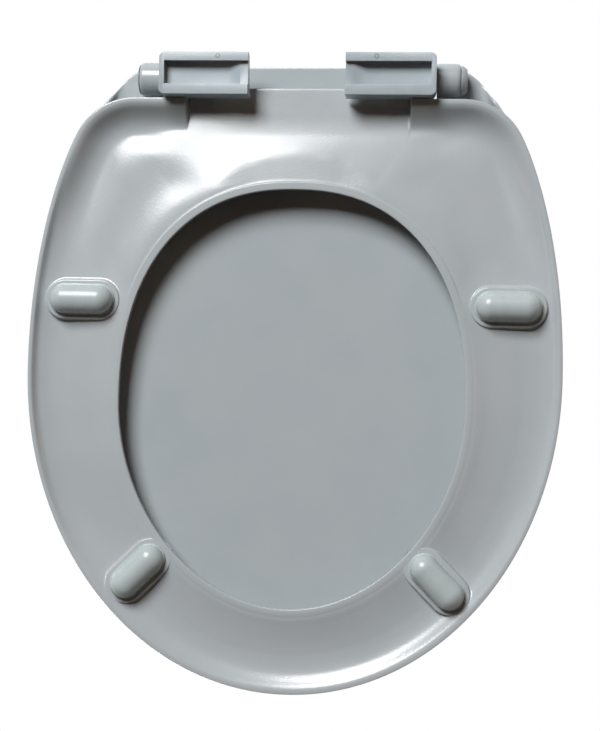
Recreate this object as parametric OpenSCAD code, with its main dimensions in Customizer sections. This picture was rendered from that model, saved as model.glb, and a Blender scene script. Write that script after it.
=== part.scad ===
// Toilet seat with lid, four bumpers and two adjustable hinge blocks.
// Millimetres. The top of the pan is z = 0, the hinge axis runs along X
// at y = 0, and the front of the seat points to -Y.

/* [Seat outline] */
// Greatest width of the seat
seat_w = 370; // [356:1:384]
// Distance from the hinge axis to the front edge
seat_front = 425.6; // [415:0.1:440]
// Distance from the hinge axis to the widest place
wide_at = 205; // [200:1:210]
// Fullness of the front curve, where 2 is an ellipse
front_full = 2.02; // [2:0.01:2.2]
// Half length of the straight back edge
back_half = 113.9; // [110:0.1:117]
// Radius of the back corners
corner_r = 45.1; // [42:0.1:50]
// Angle that a back corner turns before the side curve
corner_turn = 59; // [56:0.5:62]
// Pull of the side curve at its back end
side_pull_back = 16; // [12:1:22]
// Pull of the side curve at its widest place
side_pull_wide = 95; // [88:1:100]

/* [Oval hole] */
// Width of the hole
hole_w = 240.3; // [230:0.1:248]
// Distance from the hinge axis to the back of the hole
hole_back = 78.3; // [72:0.1:84]
// Distance from the hinge axis to the widest place of the hole
hole_wide_at = 226; // [220:0.1:235]
// Distance from the hinge axis to the front of the hole
hole_front = 367.8; // [362:0.1:373]
// Fullness of the back half of the hole
hole_back_full = 2.31; // [2.1:0.01:2.4]
// Fullness of the front half of the hole
hole_front_full = 1.95; // [1.9:0.01:2.1]

/* [Seat section] */
// Height of the rim's lower edge above the pan
rim_z = 10.3; // [9:0.1:11.5]
// Height of the hollow inside the rim, at the sides
hollow_side_z = 16.2; // [15.5:0.1:17]
// Height of the hollow inside the rim, at the front
hollow_front_z = 17; // [16.2:0.1:18]
// Height of the hollow and of the hinge plate's lower face, at the back
hollow_back_z = 21.5; // [20.5:0.1:22]
// Wall above the hollow
seat_wall = 5.8; // [5:0.1:6.5]
// Height of the lower edge of the hole
lip_z = 11.5; // [10.8:0.1:12.5]
// Height of the seat beside the hole
lip_top_z = 17; // [16.5:0.1:18]

/* [Hinge] */
// Height of the hinge axis above the pan
hinge_z = 24; // [23.5:0.1:25]
// Distance from the middle to the inner end of a hinge block
block_in = 33.5; // [30:0.5:36]
// Length of a hinge block
block_l = 62; // [60:0.5:64]
// Depth of a hinge block, front to back
block_d = 29; // [28:0.1:29.4]
// Height of the block's front wall
block_front_h = 16.5; // [14:0.1:17]
// Rounding of the block's outer corners
block_r = 4; // [2:0.5:6]
// Rounding along the top of the block's back edge
block_back_r = 6; // [5.5:0.1:6.5]
// Gap between the block and the seat's back edge
block_gap = 0.6; // [0.5:0.1:1.5]
// Radius of the seat's ear and the block's knuckle
knuckle_r = 8.5; // [8:0.1:8.6]
// Length of the block's knuckle
knuckle_l = 16.1; // [14:0.1:17]
// Length of the seat's ear
ear_l = 18; // [15:0.5:20]
// Radius of the lid's barrel
barrel_r = 11.7; // [10.5:0.1:12]
// Length of the lid's barrel
barrel_l = 15.9; // [14:0.1:17]
// Side gap between ear, knuckle and barrel
side_gap = 1; // [0.6:0.1:1.4]
// Radius of the hinge pin
pin_r = 4; // [3.5:0.1:4.5]
// Radius of the pin's head
pin_head_r = 8.7; // [7.5:0.1:8.8]
// Thickness of the pin's head
pin_head_t = 4.3; // [3:0.1:5]
// Radial clearance where the pin turns
pin_run = 0.08; // [0.05:0.01:0.15]
// Radial clearance where the pin is held in the lid
pin_hold = 0.02; // [0.01:0.01:0.04]

/* [Fixing slot] */
// Width of the slot in the block's foot
slot_w = 16; // [14:0.1:16.5]
// Distance that the slot lies behind the middle of the block
slot_shift = 0.5; // [0:0.1:1]
// Thickness of the two flanges beside the slot
flange_t = 2.5; // [2:0.1:3]
// Reach of the bolt channel behind each flange
undercut = 3; // [2:0.1:3.5]
// Depth of the bolt channel from the foot
channel_h = 7; // [6:0.1:7.4]
// Wall at the outer end of the channel
end_wall = 3.5; // [3:0.1:4]
// Length of the low lip at the inner end
inner_lip = 5.5; // [4:0.1:7]
// Length of the ramp inside that lip
ramp_l = 9; // [6:0.5:12]
// Depth of the lip's face from the foot
ramp_z = 3; // [2.6:0.1:4]

/* [Lid] */
// Distance from the hinge axis to the lid's back edge
lid_back = 10.8; // [9.5:0.1:10.9]
// Half length of the lid's straight back edge
lid_back_half = 101; // [100:0.5:106]
// Pull of the lid's corner curve at its back end
lid_corner_a = 22; // [16:0.5:28]
// Pull of the lid's corner curve at its side end
lid_corner_b = 42; // [34:0.5:50]
// How far the lid reaches past the seat all round
lid_over = 0.5; // [0:0.1:1.5]
// Height of the lid's inner face above the hinge axis, at the back
lid_face = 9; // [8.9:0.1:9.2]
// Thickness of the lid at its hinge
lid_wall = 3.2; // [3:0.1:3.3]
// Fall of the lid's inner face from the hinge to the front
lid_fall = 5.8; // [4:0.1:6.2]
// Rise of the lid's middle above its edge
lid_dome = 4; // [2:0.1:6]
// Rise of the inner face in the middle
lid_dome_in = 2; // [1:0.1:3]
// Gap between the seat's crown and the lid's lower edge, downwards
lid_edge_drop = 1; // [0.4:0.1:1.6]

/* [Bumpers] */
// Length of a seat bumper
bumper_l = 46; // [40:0.5:48]
// Width of a seat bumper
bumper_w = 22; // [18:0.5:23]
// Height at which the bumpers sit on their pads
pad_z = 11.8; // [11:0.1:12]
// Height of a bumper's round crown
crown_h = 9.5; // [8.5:0.1:10]
// Border of the moulded pad round a bumper
pad_border = 3.2; // [2:0.1:4]
// Distance of the side bumpers in from the seat's greatest width
side_bumper_in = 37; // [36:0.5:40]
// Distance of the side bumpers behind the widest place
side_bumper_behind = 48; // [40:1:55]
// Distance of the front bumpers in from the seat's greatest width
front_bumper_in = 81.5; // [79:0.5:83]
// Distance of the front bumpers behind the seat's front edge
front_bumper_behind = 80.6; // [78:0.1:84]
// Turn of the front bumpers
front_bumper_turn = 45; // [40:1:50]
// Radius of a bumper's stud
stud_r = 3; // [2.5:0.1:3.5]
// Length of a bumper's stud
stud_l = 4; // [3:0.1:4.5]
// Gap between a stud and its hole
stud_gap = 0.03; // [0.02:0.01:0.1]
// Distance of the lid's bumpers in from the seat's outline
lid_bumper_in = 23.5; // [23:0.5:26]
// Place of the lid's bumpers along the front curve, where 90 is its middle
lid_bumper_turn = 45; // [40:1:50]
// Radius of a lid bumper
lid_bumper_r = 7; // [6:0.5:8]

/* [Hidden] */
seat_col = [0.62, 0.65, 0.66];
block_col = [0.55, 0.59, 0.60];
bumper_col = [0.66, 0.71, 0.70];

skirt_y = -(block_d / 2 + block_gap);
half_w = seat_w / 2;
plate_y = -6;
// The block's roof and the inside of its front wall lie on one circle
// round the hinge axis, so the lid's back edge can swing past them.
sweep_r = norm([lid_back, lid_face]) + 0.85;
roof_z = hinge_z - sweep_r;
block_out = block_in + block_l;
knuckle_in = block_out - knuckle_l;
ear_out = knuckle_in - side_gap - 0.5;
ear_in = ear_out - ear_l;
barrel_in = block_out + side_gap;
barrel_out = barrel_in + barrel_l;
// The hinge plate has no rim between these two sides
plate_half = ear_out;

function smooth(t) = let (c = min(1, max(0, t))) c * c * (3 - 2 * c);
function mix(a, b, t) = a + (b - a) * t;
function unit(v) = v / norm(v);
function bezier(p, t) =
    pow(1 - t, 3) * p[0] + 3 * t * pow(1 - t, 2) * p[1]
    + 3 * t * t * (1 - t) * p[2] + pow(t, 3) * p[3];
function bezier_dir(p, t) = unit(
    pow(1 - t, 2) * (p[1] - p[0]) + 2 * t * (1 - t) * (p[2] - p[1])
    + t * t * (p[3] - p[2]));

// Each outline station is [point, outward normal], from the middle of the
// back edge round the +X side to the middle of the front.
corner_end = [back_half, skirt_y - corner_r]
    + corner_r * [sin(corner_turn), cos(corner_turn)];
side_curve = [
    corner_end,
    corner_end + side_pull_back * [cos(corner_turn), -sin(corner_turn)],
    [half_w, side_pull_wide - wide_at],
    [half_w, -wide_at]
];
function front_station(a) = let (
        b = seat_front - wide_at,
        s = pow(sin(a), 2 / front_full),
        c = pow(cos(a), 2 / front_full)
    ) [
        [half_w * c, -wide_at - b * s],
        unit([pow(c, front_full - 1) / half_w, -pow(s, front_full - 1) / b])
    ];
function side_station(t) = let (d = bezier_dir(side_curve, t))
    [bezier(side_curve, t), [-d[1], d[0]]];
function corner_station(a) = [
    [back_half, skirt_y - corner_r] + corner_r * [sin(a), cos(a)],
    [sin(a), cos(a)]
];
back_x = [0, 26, 52, plate_half - 0.3, plate_half + 0.3, 96];
seat_half = [
    for (x = back_x) [[x, skirt_y], [0, 1]],
    for (i = [0:5]) corner_station(corner_turn * i / 5),
    for (i = [1:7]) side_station(i / 8),
    for (i = [0:15]) front_station(90 * i / 15)
];

// The hole's edge as seen from its own middle in direction a
function hole_radius(a) = let (
        b = sin(a) > 0 ? hole_wide_at - hole_back : hole_front - hole_wide_at,
        n = sin(a) > 0 ? hole_back_full : hole_front_full
    ) pow(pow(abs(cos(a)) * 2 / hole_w, n) + pow(abs(sin(a)) / b, n), -1 / n);
function hole_point(a) = [0, -hole_wide_at] + hole_radius(a) * [cos(a), sin(a)];
function hole_normal(a) = let (d = unit(hole_point(a + 0.5) - hole_point(a - 0.5)))
    [d[1], -d[0]];

// Share of the back section and of the front section at a station, and
// within the back section the share of its corner
front_from = seat_front - 176;
function backness(y) = smooth((y + 150) / 105);
function frontness(y) = smooth((-y - front_from) / 130);
function cornerness(x) = smooth((abs(x) - 50) / 80);
function hollow_z(y) = hollow_side_z
    + (hollow_back_z - hollow_side_z) * backness(y)
    + (hollow_front_z - hollow_side_z) * frontness(y);
function crown_z(y) = hollow_z(y) + seat_wall;
// Value between a side value and those of the back and the front
function along(y, back, side, front) = side
    + (back - side) * backness(y) + (front - side) * frontness(y);
// Step of the lip beside the hole, which is there only at the back
function step_share(y) = smooth((y + hole_back + 45) / 40);
// Fall of the hinge plate where the slope to the hole begins
function plate_fall(x) = 2 * (1 - cornerness(x));

// Rim section, [distance in from the outline, height], from the crown
// round the outside to the hollow. It has as many rows as plate_rows.
function rim_rows(x, y) = let (
        c = crown_z(y),
        h = hollow_z(y),
        r = rim_z
    ) [
        [22, c], [16, c - 0.25], [11, c - 0.9], [7, c - 2.1],
        [5, mix(c, h, 0.52)], [4.1, mix(c, h, 0.66)],
        [3.5, mix(c, h, 0.78)], [3.05, mix(c, h, 0.9)], [2.75, h],
        [1.3, mix(h, r, 0.3)], [0.3, mix(h, r, 0.56)], [0, mix(h, r, 0.76)],
        [0.3, mix(h, r, 0.92)], [1.2, r + 0.15], [2.4, r], [3.5, mix(h, r, 0.97)],
        [4.4, mix(h, r, along(y, 0.95, 0.68, 0.93))],
        [6.2, mix(h, r, along(y, 0.82, 0.44, 0.77))],
        [9, mix(h, r, along(y, 0.59, 0.25, 0.48))],
        [12.6, mix(h, r, along(y, 0.33, 0.11, 0.21))],
        [17, mix(h, r, along(y, 0.12, 0.02, 0.04))], [24, h - plate_fall(x) * backness(y)]
    ];
// Section of the hinge plate, which reaches back to the ears without a rim
function plate_rows(x, y) = let (
        c = crown_z(y),
        h = hollow_z(y),
        e = skirt_y - plate_y
    ) [
        [22, c], [12, c], [2, c], [e + 3.2, c],
        [e + 0.9, c - 0.5], [e, c - 1.8],
        [e + 0.2, h + 1.4], [e + 1.4, h + 0.1], [2.75, h],
        [2.9, h], [3.05, h], [3.2, h],
        [3.35, h], [3.5, h], [3.65, h], [3.9, h],
        [4.4, h], [6.2, h], [9, h],
        [12.6, h], [17, h - 0.3 * plate_fall(x)], [24, h - plate_fall(x)]
    ];
// Slope from the hollow to the lip: share of the way, then the share of the
// fall reached there at the middle of the back, at the back corners, at the
// sides and at the front
fall_rows = [
    [0.12, 0.34, 0.14, 0.07, 0.03], [0.3, 0.51, 0.31, 0.2, 0.15],
    [0.5, 0.71, 0.43, 0.35, 0.33], [0.7, 0.85, 0.64, 0.54, 0.57],
    [0.87, 0.93, 0.9, 0.79, 0.81]
];
// Section beside the hole, [distance out from its edge, height], from
// below round the edge to the top
function lip_rows(w) = [
    [9, lip_z + 1.1], [6.4, lip_z + mix(0.5, 0.65, w)], [5.7, lip_z + mix(0.4, 0.1, w)],
    [3, lip_z], [1.1, lip_z + 0.1], [0.3, lip_z + 0.5], [0, lip_z + 1.5],
    [0.2, lip_top_z - 1.9], [1.3, lip_top_z - 0.7], [4, lip_top_z],
    [9, lip_top_z + 1]
];

function seat_section(st) = let (
        p = st[0],
        rim = abs(p[0]) > plate_half || p[1] < skirt_y - 1,
        y = p[1],
        a = atan2(p[1] + hole_wide_at, p[0]),
        q = hole_point(a),
        m = hole_normal(a),
        h = hollow_z(y),
        c = crown_z(y),
        outer = [for (r = rim ? rim_rows(p[0], y) : plate_rows(p[0], y))
            concat(p - r[0] * st[1], r[1])],
        inner = [for (r = lip_rows(step_share(y))) concat(q + r[0] * m, r[1])],
        from = p - 24 * st[1],
        to = q + 9 * m,
        u = unit(to - from),
        l = norm(to - from),
        low = lip_z + 1.1,
        under = [for (r = fall_rows) concat(
            from + r[0] * l * u,
            mix(h, low, along(y, mix(r[1], r[2], cornerness(p[0])), r[3], r[4])))],
        top = [
            concat(from + (16 + l) / 2 * u, mix(c, lip_top_z + 1, 0.66)),
            concat(from + 9 * u, mix(c, lip_top_z + 1, 0.2))
        ]
    ) concat(outer, under, inner, top);

function mirrored(rows) = [for (r = rows) [-r[0], r[1], r[2]]];
// The sections of one half, then those of the other half in reverse
function around(half) = concat(
    half, [for (i = [len(half) - 2:-1:1]) mirrored(half[i])]);

// Skin over closed sections that follow one another in a closed loop
module ring_skin(sections) {
    n = len(sections);
    k = len(sections[0]);
    polyhedron(
        points = [for (s = sections) each s],
        faces = [for (i = [0:n - 1], j = [0:k - 1])
            let (a = i * k + j, b = i * k + (j + 1) % k,
                c = ((i + 1) % n) * k + (j + 1) % k, d = ((i + 1) % n) * k + j)
            each [[a, b, c], [a, c, d]]]
    );
}

// Straight bar with round ends, turned profile [radius, height] points
module stadium(length, width, profile) {
    straight = length - width;
    for (s = [-1, 1]) {
        translate([s * straight / 2, 0, 0])
            rotate([0, 0, -90 * s])
                rotate_extrude(angle = 180, $fn = 64) profile_half(profile);
    }
    rotate([90, 0, 90])
        translate([0, 0, -straight / 2])
            linear_extrude(straight) {
                profile_half(profile);
                mirror([1, 0]) profile_half(profile);
            }
}

module profile_half(profile) {
    polygon(profile);
}

bumper_places = [
    [half_w - side_bumper_in, side_bumper_behind - wide_at, 0],
    [half_w - front_bumper_in, front_bumper_behind - seat_front, -front_bumper_turn]
];
lid_bumper_station = front_station(lid_bumper_turn);
lid_bumper_place = lid_bumper_station[0] - lid_bumper_in * lid_bumper_station[1];

// Quarter round from a vertical side into a flat end, radius r
function quarter(cx, cz, rx, rz, a0, a1, n) =
    [for (i = [0:n]) let (a = mix(a0, a1, i / n)) [cx + rx * cos(a), cz + rz * sin(a)]];

pad_top = hollow_side_z + 1;
module pad() {
    r = bumper_w / 2 + pad_border;
    stadium(bumper_l + 2 * pad_border, 2 * r, concat(
        [[0, pad_top], [0, pad_z]],
        quarter(r - 1.6, pad_z + 1.6, 1.6, 1.6, -90, 0, 4),
        [[r, pad_top]]
    ));
}

// Pin bores and stud holes run this much past the faces they open
past = 0.5;

module along_x(x0, x1, r) {
    translate([x0, 0, hinge_z]) rotate([0, 90, 0]) cylinder(h = x1 - x0, r = r, $fn = 64);
}

// The ear and the web that carries it, drawn on the +X side
module ear() {
    along_x(ear_in, ear_out, knuckle_r);
    translate([ear_in, 0, 0])
        rotate([90, 0, 90])
            linear_extrude(ear_l)
                polygon([
                    [0, hinge_z - knuckle_r], [skirt_y, hollow_back_z],
                    [skirt_y - 6, hollow_back_z + 1], [skirt_y - 6, crown_z(skirt_y) - 1],
                    [skirt_y, crown_z(skirt_y)], [0, hinge_z + knuckle_r]
                ]);
}

module seat_ring() {
    color(seat_col)
        difference() {
            union() {
                ring_skin(around([for (st = seat_half) seat_section(st)]));
                for (s = [0, 1]) mirror([s, 0, 0]) {
                    ear();
                    for (b = bumper_places)
                        translate([b[0], b[1], 0]) rotate([0, 0, b[2]]) pad();
                }
            }
            for (s = [0, 1]) mirror([s, 0, 0]) {
                along_x(ear_in - past, ear_out + past, pin_r + pin_run);
                for (b = bumper_places)
                    translate([b[0], b[1], pad_z - past])
                        cylinder(h = stud_l + 0.5 + past, r = stud_r + stud_gap, $fn = 48);
            }
        }
}

// Soft bumper whose round crown rests on the pan
module seat_bumper(side, place) {
    r = bumper_w / 2;
    color(bumper_col)
        mirror([side < 0 ? 1 : 0, 0, 0])
            translate([place[0], place[1], 0])
                rotate([0, 0, place[2]]) {
                    stadium(bumper_l, bumper_w, concat(
                        [[0, pad_z]],
                        quarter(0, crown_h, r - 0.8, crown_h, -90, 0, 10),
                        [[r - 0.8, pad_z - 1.6], [r, pad_z - 1.3], [r, pad_z]]
                    ));
                    translate([0, 0, pad_z - 1])
                        cylinder(h = stud_l + 1, r = stud_r, $fn = 48);
                }
}

// Lid outline: the seat's outline pushed out a little, closed at the back
// by a corner curve and a straight edge behind the hinge axis
lid_join = corner_station(corner_turn - 4);
lid_corner_end = lid_join[0] + lid_over * lid_join[1];
lid_corner = [
    [lid_back_half, lid_back],
    [lid_back_half + lid_corner_a, lid_back],
    lid_corner_end - lid_corner_b * [lid_join[1][1], -lid_join[1][0]],
    lid_corner_end
];
function lid_corner_station(t) = let (d = bezier_dir(lid_corner, t))
    [bezier(lid_corner, t), [-d[1], d[0]]];
lid_half = [
    for (x = [0, 33, 66, 84]) [[x, lid_back], [0, 1]],
    for (i = [0:8]) lid_corner_station(i / 8),
    for (i = [1:2:7]) let (s = side_station(i / 8)) [s[0] + lid_over * s[1], s[1]],
    for (i = [0:14]) let (s = front_station(90 * i / 14)) [s[0] + lid_over * s[1], s[1]]
];

// Height of the lid's inner face near its edge, and the fall it follows
function lid_face_z(y) = hinge_z + lid_face
    - lid_fall * max(0, -y - 22) / (seat_front - 22);
function lid_top_z(y) = lid_face_z(y) + lid_wall;

// Radius of the rounding at the lid's back edge
roll_r = sweep_r - 0.45;
function roll_z(d) = let (y = lid_back - d)
    min(hinge_z + lid_face + lid_wall, hinge_z + sqrt(roll_r * roll_r - y * y));

// Edge of the lid, [distance in, height], from the top to the inner face
function lid_lip_rows(y) = let (
        t = lid_top_z(y),
        f = lid_face_z(y),
        e = min(crown_z(y) - lid_edge_drop, f - 4)
    ) [
        [15, t], [9.5, t - 0.5], [5.5, t - 1.5], [2.8, t - 3],
        [0.9, t - 5.2], [0, mix(t, e, 0.8)], [0.35, e + 0.7],
        [1.4, e], [2.6, e + 0.3], [3.4, e + 1.6],
        [4.4, mix(e, f, 0.55)], [7, mix(e, f, 0.88)], [15, f]
    ];
function lid_roll_rows() = let (f = hinge_z + lid_face) [
        [15, f + lid_wall], [9.5, f + lid_wall], [5.5, roll_z(5.5)], [3.4, roll_z(3.4)],
        [2, roll_z(2)], [1, roll_z(1)], [0.3, roll_z(0.3)],
        [0, f + 0.45], [0.3, f + 0.12], [1.2, f],
        [4.4, f], [7, f], [15, f]
    ];
function lid_mid(edge, s, y0, rise, z0) = let (
        c = [0, -wide_at],
        p = c + s * ([edge[0], edge[1]] - c)
    ) concat(p, mix(lid_face_z(p[1]) + z0, z0 + lid_face_z(p[1]) + rise, pow(1 - s * s, 2)));
lid_shares = [0.8, 0.55, 0.28];
function lid_section(st) = let (
        p = st[0],
        w = smooth((1 - p[1]) / 17),
        a = lid_roll_rows(),
        b = lid_lip_rows(p[1]),
        edge = [for (i = [0:len(a) - 1]) concat(
            p - mix(a[i][0], b[i][0], w) * st[1], mix(a[i][1], b[i][1], w))],
        first = edge[0],
        last = edge[len(edge) - 1]
    ) concat(
        [for (i = [2:-1:0]) lid_mid(first, lid_shares[i], 0, lid_dome, lid_wall)],
        edge,
        [for (s = lid_shares) lid_mid(last, s, 0, lid_dome_in, 0)]
    );

// Skin over open sections that all end at a top and a bottom middle point
module cap_skin(sections, top, bottom) {
    n = len(sections);
    k = len(sections[0]);
    polyhedron(
        points = concat([for (s = sections) each s], [top, bottom]),
        faces = concat(
            [for (i = [0:n - 1], j = [0:k - 2])
                let (a = i * k + j, b = i * k + j + 1,
                    c = ((i + 1) % n) * k + j + 1, d = ((i + 1) % n) * k + j)
                each [[a, b, c], [a, c, d]]],
            [for (i = [0:n - 1]) [n * k, i * k, ((i + 1) % n) * k]],
            [for (i = [0:n - 1]) [n * k + 1, ((i + 1) % n) * k + k - 1, i * k + k - 1]]
        )
    );
}

lid_middle_z = lid_face_z(-wide_at);
// Top face of the lid's bumpers, just under the lid's inner face
lid_bumper_z = lid_face_z(lid_bumper_place[1]) - 0.4;
lid_stud_r = 2.5;
module lid() {
    color(seat_col)
        difference() {
            union() {
                cap_skin(
                    around([for (st = lid_half) lid_section(st)]),
                    [0, -wide_at, lid_middle_z + lid_wall + lid_dome],
                    [0, -wide_at, lid_middle_z + lid_dome_in]
                );
                for (s = [0, 1]) mirror([s, 0, 0]) along_x(barrel_in, barrel_out, barrel_r);
            }
            for (s = [0, 1]) mirror([s, 0, 0]) {
                along_x(barrel_in - past, barrel_out + past, pin_r + pin_hold);
                // Room for the knuckle, which would meet the lid when both are swung back
                translate([knuckle_in - side_gap, -sweep_r + 2, hinge_z])
                    cube([barrel_in - knuckle_in + side_gap, 2 * sweep_r, 3 * lid_face]);
                translate([lid_bumper_place[0], lid_bumper_place[1], 0])
                    cylinder(h = lid_bumper_z + 1.8, r = lid_stud_r + stud_gap, $fn = 48);
            }
        }
}

// Round soft bumper between the lid's inner face and the seat's crown
module lid_bumper(side) {
    z0 = crown_z(lid_bumper_place[1]) + 0.3;
    color(bumper_col)
        translate([side * lid_bumper_place[0], lid_bumper_place[1], 0]) {
            rotate_extrude($fn = 64)
                polygon(concat(
                    [[0, lid_bumper_z], [0, z0]],
                    quarter(lid_bumper_r - 2, z0 + 2, 2, 2, -90, 0, 4),
                    [[lid_bumper_r, lid_bumper_z]]
                ));
            translate([0, 0, lid_bumper_z - 1]) cylinder(h = 2.2, r = lid_stud_r, $fn = 48);
        }
}

// Side view of the block, with x for front to back and y for height
module block_profile() {
    d = block_d / 2;
    difference() {
        union() {
            translate([-d, 0]) square([d, block_front_h]);
            translate([-d, 0]) square([2 * d - block_back_r, roof_z]);
            square([d, roof_z - block_back_r]);
            translate([d - block_back_r, roof_z - block_back_r])
                circle(r = block_back_r, $fn = 64);
        }
        translate([0, hinge_z]) circle(r = sweep_r, $fn = 128);
    }
}

// Foot outline of the block: its outer corners are round
module block_outline() {
    d = block_d / 2;
    translate([block_in, -d]) square([block_l - block_r, block_d]);
    translate([block_out - block_r - 1, block_r - d]) square([block_r + 1, block_d - 2 * block_r]);
    for (s = [-1, 1])
        translate([block_out - block_r, s * (d - block_r)]) circle(r = block_r, $fn = 64);
}

// Block on the +X side. Its foot stands on the pan at z = 0.
module block_right() {
    channel_in = block_in + inner_lip;
    channel_out = block_out - end_wall;
    difference() {
        union() {
            intersection() {
                linear_extrude(block_front_h) block_outline();
                translate([block_in, 0, 0])
                    rotate([90, 0, 90])
                        linear_extrude(block_l) block_profile();
            }
            along_x(knuckle_in, block_out, knuckle_r);
            translate([knuckle_in, -knuckle_r, roof_z - 0.6])
                cube([knuckle_l, 2 * knuckle_r, hinge_z - roof_z + 0.6]);
        }
        along_x(knuckle_in - past, block_out + past, pin_r + pin_run);
        translate([channel_in, slot_shift - slot_w / 2, -past])
            cube([channel_out - channel_in, slot_w, flange_t + past + 0.1]);
        // Bolt channel with a ramp that rises to the lip at its inner end
        translate([0, slot_shift + slot_w / 2 + undercut, 0])
            rotate([90, 0, 0])
                linear_extrude(slot_w + 2 * undercut)
                    polygon([
                        [channel_in, flange_t], [channel_out, flange_t],
                        [channel_out, channel_h], [channel_in + ramp_l, channel_h],
                        [channel_in, ramp_z]
                    ]);
        // The lip at the inner end is open towards the middle of the seat
        translate([block_in - past, slot_shift - slot_w / 2, -past])
            cube([inner_lip + 2 * past, slot_w, ramp_z + past]);
    }
}

module hinge_block(side) {
    color(block_col) mirror([side < 0 ? 1 : 0, 0, 0]) block_right();
}

// Pin with a flat round head outside the lid's barrel
module hinge_pin(side) {
    color(block_col)
        mirror([side < 0 ? 1 : 0, 0, 0]) {
            along_x(ear_in + 1, barrel_out + 0.1, pin_r);
            translate([barrel_out + 0.05, 0, hinge_z])
                rotate([0, 90, 0])
                    rotate_extrude($fn = 64)
                        polygon(concat(
                            [[0, 0], [pin_head_r, 0]],
                            quarter(pin_head_r - 1.2, pin_head_t - 1.2, 1.2, 1.2, 0, 90, 4),
                            [[0, pin_head_t]]
                        ));
        }
}

seat_ring();
seat_bumper(1, bumper_places[0]);  // seat_bumper_side_left
seat_bumper(-1, bumper_places[0]);  // seat_bumper_side_right
seat_bumper(1, bumper_places[1]);  // seat_bumper_front_left
seat_bumper(-1, bumper_places[1]);  // seat_bumper_front_right
lid();
lid_bumper(1);  // lid_bumper_left
lid_bumper(-1);  // lid_bumper_right
hinge_block(1);  // hinge_block_left
hinge_block(-1);  // hinge_block_right
hinge_pin(1);  // hinge_pin_left
hinge_pin(-1);  // hinge_pin_right
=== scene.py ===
import math

import bmesh
import bpy
import numpy as np
from mathutils import Matrix


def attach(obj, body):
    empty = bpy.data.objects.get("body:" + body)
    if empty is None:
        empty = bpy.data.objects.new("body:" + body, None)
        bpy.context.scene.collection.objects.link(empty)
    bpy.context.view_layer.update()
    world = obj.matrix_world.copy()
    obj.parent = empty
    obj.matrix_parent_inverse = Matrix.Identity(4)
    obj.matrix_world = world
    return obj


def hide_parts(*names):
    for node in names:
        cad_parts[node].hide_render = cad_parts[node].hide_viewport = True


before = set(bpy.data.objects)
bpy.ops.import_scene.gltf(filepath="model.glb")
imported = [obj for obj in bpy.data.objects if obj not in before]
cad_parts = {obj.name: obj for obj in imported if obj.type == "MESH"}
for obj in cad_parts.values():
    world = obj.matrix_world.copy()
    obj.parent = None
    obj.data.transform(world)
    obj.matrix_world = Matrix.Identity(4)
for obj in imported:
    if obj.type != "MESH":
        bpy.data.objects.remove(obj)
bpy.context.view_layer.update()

# sizes, mm

# Seat: half its width, its front edge, where it is widest and how full its front is; then the back corners'
# centre, radius and turn in degrees, and the pulls of the side's curve
SEAT_HALF, SEAT_FRONT, WIDE_AT, FRONT_FULL = 185.0, 425.6, 205.0, 2.02
BACK_HALF, CORNER_R, CORNER_TURN = 113.9, 45.1, 59.0
PULL_BACK, PULL_WIDE = 16.0, 95.0
# Hole: half its width, then its back edge, middle and front edge, and its fullness at the back and front
HOLE_HALF, HOLE_BACK, HOLE_MID, HOLE_FRONT = 120.15, 78.3, 226.0, 367.8
HOLE_FULL_BACK, HOLE_FULL_FRONT = 2.31, 1.95
# Ring: heights of the rim's edge, the lip and the top at the hole, then the wall; the hollow at the sides,
# and how much deeper it is at the back and at the front
RIM_Z, LIP_Z, LIP_TOP_Z, WALL = 10.3, 11.5, 17.0, 5.8
HOLLOW_Z, HOLLOW_BACK, HOLLOW_FRONT = 16.2, 5.3, 0.2
# Hinge: height of its axis, the back of the rim and of the hinge plate, and the step between them; then, out
# along X, the block, the lid's barrel, the ear and the pin
HINGE_Z, SKIRT_Y, PLATE_Y, STEP_X = 24.0, -15.1, -6.0, 77.9
BLOCK_OUT, KNUCKLE_R = 95.5, 8.5
BARREL_IN, BARREL_OUT, BARREL_R = 95.6, 112.4, 11.7
EAR_IN, EAR_OUT, EAR_WEB_Y = 59.9, STEP_X - 0.9, -19.0
PIN_R, PIN_IN, PIN_HEAD_R = 4.0, 60.9, 10.4
# Lid: back edge and underside from the hinge axis, wall, how far it stands out past the seat, and its fall to
# the front; then the end of its straight back edge and the notch's sides, and how far in the edge's last row
# lies, in general and beside the notches; the back edge sweeps round the axis inside SWEEP_R
LID_BACK, LID_FACE, LID_WALL, LID_OVER, LID_FALL = 10.8, 9.0, 3.2, 0.5, 5.8
LID_STRAIGHT, NOTCH_IN, NOTCH_OUT = 101.0, 78.4, BLOCK_OUT + 0.2
LID_INNER, LID_REACH = 24.5, 33.0
SWEEP_R = math.hypot(LID_BACK, LID_FACE) + 0.85
NOTCH_WALL_Y = 2 - SWEEP_R
# Bumpers: height of their pads, length, width and crown, then x, y and turn of each; the lid's stops: radius,
# and distance in from the outline
PAD_Z, BUMPER_LONG, BUMPER_WIDE, BUMPER_CROWN = 11.8, 46.0, 22.0, 9.5
SIDE_BUMPER, FRONT_BUMPER = (148.0, -157.0, 0.0), (103.5, -345.0, -45.0)
STOP_R, STOP_INSET = 7.0, 23.5


# curves
def smooth(t):
    """Smooth step: 3 t squared less 2 t cubed, between 0 and 1."""
    t = np.clip(t, 0.0, 1.0)
    return t * t * (3.0 - 2.0 * t)


def mix(a, b, t):
    """Straight mix, a where t is 0 and b where t is 1."""
    return a + (b - a) * t


def unit(v):
    """Each vector divided by its own length."""
    return v / np.linalg.norm(v, axis=-1, keepdims=True)


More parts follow.
